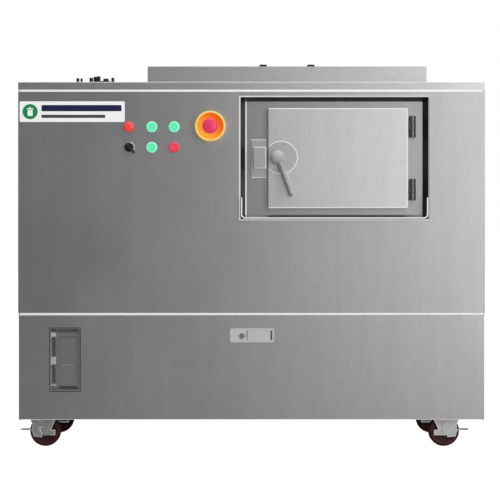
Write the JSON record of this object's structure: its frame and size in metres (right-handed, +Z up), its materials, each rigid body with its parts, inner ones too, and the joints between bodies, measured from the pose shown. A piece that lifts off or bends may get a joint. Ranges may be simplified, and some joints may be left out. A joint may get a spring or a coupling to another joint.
{
  "type": "trash compactor",
  "caption": "Stainless horizontal-ram trash compactor on castors: front feed door with lever latch, push-button panel, drop-down service flap, lift-up top cover and side waste drawer.",
  "frame": {"origin": "on the floor, under the middle of the object", "axes": "+X to the right as seen from the front, +Y to the back, +Z up"},
  "size_m": [1.2, 0.7991, 0.9895],
  "materials": {
    "stainless_vertical": "vertical brushed satin",
    "stainless_horizontal": "horizontal brushed satin",
    "frame_paint": "satin",
    "hinge_steel": "turned",
    "machined_steel": "polished",
    "wear_steel": "mill finish",
    "power_pack_paint": "semi gloss",
    "valve_zinc": "machined",
    "hose_rubber": "matt",
    "box_paint": "powder coat",
    "bezel_chrome": "polished",
    "lamp_lens": "gloss",
    "stop_yellow": "gloss",
    "plate_white": "satin",
    "fitting_black": "moulded",
    "latch_cast": "satin plated",
    "lock_chrome": "polished",
    "button_green": "gloss",
    "button_red": "gloss",
    "castor_zinc": "zinc plated",
    "castor_tyre": "moulded"
  },
  "bodies": {
    "cabinet": {"base_frame": "frame_paint", "base_floor": "frame_paint", "flap_brackets": "frame_paint", "upright_frame": "frame_paint", "top_frame": "frame_paint", "front_panel": "stainless_vertical", "left_panel": "stainless_vertical", "right_panel": "stainless_vertical", "back_panel": "stainless_vertical", "top_panel": "stainless_horizontal", "top_lip": "stainless_horizontal", "door_recess": "stainless_vertical", "frame_hinges": "hinge_steel", "latch_keeper": "stainless_vertical", "chamber": "wear_steel", "ram_cylinder": "power_pack_paint", "oil_tank": "power_pack_paint", "pump_motor": "power_pack_paint", "valve_block": "valve_zinc", "hydraulic_hoses": "hose_rubber", "control_box": "box_paint", "button_bezels": "bezel_chrome", "pilot_lamp": "lamp_lens", "estop_collar": "stop_yellow", "service_pocket": "stainless_vertical", "nameplate": "plate_white", "top_fittings": "fitting_black", "rear_handle": "frame_paint"},
    "door": {"door_skin": "stainless_vertical", "door_liner": "stainless_vertical", "door_gasket": "hose_rubber", "door_hinges": "hinge_steel", "latch_plate": "stainless_vertical"},
    "lever": {"latch_lever": "machined_steel"},
    "tongue": {"latch_tongue": "machined_steel"},
    "flap": {"service_flap": "stainless_vertical", "flap_latch_body": "latch_cast"},
    "paddle": {"flap_paddle": "latch_cast"},
    "lock": {"flap_lock": "lock_chrome"},
    "cover": {"top_cover": "stainless_horizontal"},
    "green_1": {"button_green_1": "button_green"},
    "green_2": {"button_green_2": "button_green"},
    "green_3": {"button_green_3": "button_green"},
    "red": {"button_red": "button_red"},
    "selector": {"selector_knob": "fitting_black"},
    "stop_stem": {"estop_stem": "fitting_black"},
    "stop_head": {"estop_head": "button_red"},
    "lid_lower": {"socket_cover_lower": "stainless_vertical"},
    "lid_upper": {"socket_cover_upper": "stainless_vertical"},
    "ram": {"ram_head": "wear_steel", "ram_rod": "machined_steel"},
    "gate": {"discharge_gate": "wear_steel"},
    "drawer": {"waste_drawer": "stainless_vertical"},
    "fan": {"motor_fan": "fitting_black"},
    "pedal_1": {"castor_pedal_1": "castor_zinc"},
    "pedal_2": {"castor_pedal_2": "castor_zinc"},
    "castor_1": {"castor_fork_1": "castor_zinc"},
    "wheel_1": {"castor_wheel_1": "castor_tyre"},
    "castor_2": {"castor_fork_2": "castor_zinc"},
    "wheel_2": {"castor_wheel_2": "castor_tyre"},
    "castor_3": {"castor_fork_3": "castor_zinc"},
    "wheel_3": {"castor_wheel_3": "castor_tyre"},
    "castor_4": {"castor_fork_4": "castor_zinc"},
    "wheel_4": {"castor_wheel_4": "castor_tyre"}
  },
  "joints": [
    {"name": "catch_turn", "type": "hinge", "parent": "door", "child": "lever", "pos_m": [0.0657, -0.361, 0.7473], "axis": [0, 1, 0], "range_deg": [0, 60]},
    {"name": "tongue_slide", "type": "slide", "parent": "door", "child": "tongue", "axis": [-1, 0, 0], "range_m": [0, 0.0141]},
    {"name": "cover_lift", "type": "hinge", "parent": "cabinet", "child": "cover", "pos_m": [0.092, 0.296, 0.947], "axis": [-1, 0, 0], "range_deg": [0, 80]},
    {"name": "crush_stroke", "type": "slide", "parent": "cabinet", "child": "ram", "axis": [1, 0, 0], "range_m": [0, 0.34]},
    {"name": "door_swing", "type": "hinge", "parent": "cabinet", "child": "door", "pos_m": [0.4146, -0.334, 0.7455], "axis": [0, 0, 1], "range_deg": [0, 110]},
    {"name": "drawer_pull", "type": "slide", "parent": "cabinet", "child": "drawer", "axis": [1, 0, 0], "range_m": [0, 0.45]},
    {"name": "flap_drop", "type": "hinge", "parent": "cabinet", "child": "flap", "pos_m": [0, -0.34, 0.082], "axis": [1, 0, 0], "range_deg": [0, 90]},
    {"name": "gate_slide", "type": "slide", "parent": "cabinet", "child": "gate", "axis": [-1, 0, 0], "range_m": [0, 0.3]},
    {"name": "key_turn", "type": "hinge", "parent": "flap", "child": "lock", "pos_m": [-0.025, -0.34, 0.288], "axis": [0, 1, 0], "range_deg": [0, 90]},
    {"name": "lid_lower", "type": "hinge", "parent": "cabinet", "child": "lid_lower", "pos_m": [-0.47425, -0.327, 0.21135], "axis": [-1, 0, 0], "range_deg": [0, 100], "stiffness_Nm_per_rad": 0.05, "springref_deg": -28.65},
    {"name": "lid_upper", "type": "hinge", "parent": "cabinet", "child": "lid_upper", "pos_m": [-0.47425, -0.327, 0.28145], "axis": [-1, 0, 0], "range_deg": [0, 100], "stiffness_Nm_per_rad": 0.05, "springref_deg": -28.65},
    {"name": "motor_spin", "type": "hinge", "parent": "cabinet", "child": "fan", "pos_m": [-0.083, 0.12, 0.245], "axis": [1, 0, 0], "continuous": true},
    {"name": "paddle_pull", "type": "hinge", "parent": "flap", "child": "paddle", "pos_m": [-0.009, -0.348, 0.2896], "axis": [0, 0, -1], "range_deg": [0, 35], "stiffness_Nm_per_rad": 0.1, "springref_deg": -11.46},
    {"name": "pedal_1", "type": "hinge", "parent": "castor_1", "child": "pedal_1", "pos_m": [-0.535, -0.268, 0.056], "axis": [0, -1, 0], "range_deg": [0, 10]},
    {"name": "pedal_2", "type": "hinge", "parent": "castor_2", "child": "pedal_2", "pos_m": [0.499, -0.268, 0.056], "axis": [0, 1, 0], "range_deg": [0, 10]},
    {"name": "press_green_1", "type": "slide", "parent": "cabinet", "child": "green_1", "axis": [0, 1, 0], "range_m": [0, 0.004], "stiffness_N_per_m": 500, "springref_m": -0.001},
    {"name": "press_green_2", "type": "slide", "parent": "cabinet", "child": "green_2", "axis": [0, 1, 0], "range_m": [0, 0.004], "stiffness_N_per_m": 500, "springref_m": -0.001},
    {"name": "press_green_3", "type": "slide", "parent": "cabinet", "child": "green_3", "axis": [0, 1, 0], "range_m": [0, 0.004], "stiffness_N_per_m": 500, "springref_m": -0.001},
    {"name": "press_red", "type": "slide", "parent": "cabinet", "child": "red", "axis": [0, 1, 0], "range_m": [0, 0.004], "stiffness_N_per_m": 500, "springref_m": -0.001},
    {"name": "selector_turn", "type": "hinge", "parent": "cabinet", "child": "selector", "pos_m": [-0.3145, -0.355, 0.7728], "axis": [0, 1, 0], "range_deg": [0, 90]},
    {"name": "stop_push", "type": "slide", "parent": "cabinet", "child": "stop_stem", "axis": [0, 1, 0], "range_m": [0, 0.005]},
    {"name": "stop_twist", "type": "hinge", "parent": "stop_stem", "child": "stop_head", "pos_m": [-0.1061, -0.38, 0.8265], "axis": [0, 1, 0], "range_deg": [0, 35], "stiffness_Nm_per_rad": 0.05, "springref_deg": -5.73},
    {"name": "swivel_1", "type": "hinge", "parent": "cabinet", "child": "castor_1", "pos_m": [-0.507, -0.268, 0.098], "axis": [0, 0, 1], "continuous": true},
    {"name": "wheel_1", "type": "hinge", "parent": "castor_1", "child": "wheel_1", "pos_m": [-0.535, -0.268, 0.04], "axis": [0, 1, 0], "continuous": true},
    {"name": "swivel_2", "type": "hinge", "parent": "cabinet", "child": "castor_2", "pos_m": [0.471, -0.268, 0.098], "axis": [0, 0, 1], "continuous": true},
    {"name": "wheel_2", "type": "hinge", "parent": "castor_2", "child": "wheel_2", "pos_m": [0.499, -0.268, 0.04], "axis": [0, 1, 0], "continuous": true},
    {"name": "swivel_3", "type": "hinge", "parent": "cabinet", "child": "castor_3", "pos_m": [-0.507, 0.268, 0.098], "axis": [0, 0, 1], "continuous": true},
    {"name": "wheel_3", "type": "hinge", "parent": "castor_3", "child": "wheel_3", "pos_m": [-0.535, 0.268, 0.04], "axis": [0, 1, 0], "continuous": true},
    {"name": "swivel_4", "type": "hinge", "parent": "cabinet", "child": "castor_4", "pos_m": [0.471, 0.268, 0.098], "axis": [0, 0, 1], "continuous": true},
    {"name": "wheel_4", "type": "hinge", "parent": "castor_4", "child": "wheel_4", "pos_m": [0.499, 0.268, 0.04], "axis": [0, 1, 0], "continuous": true}
  ],
  "couplings": [
    {"joint": "tongue_slide", "follows": "catch_turn", "m_per_rad": 0.01337}
  ]
}
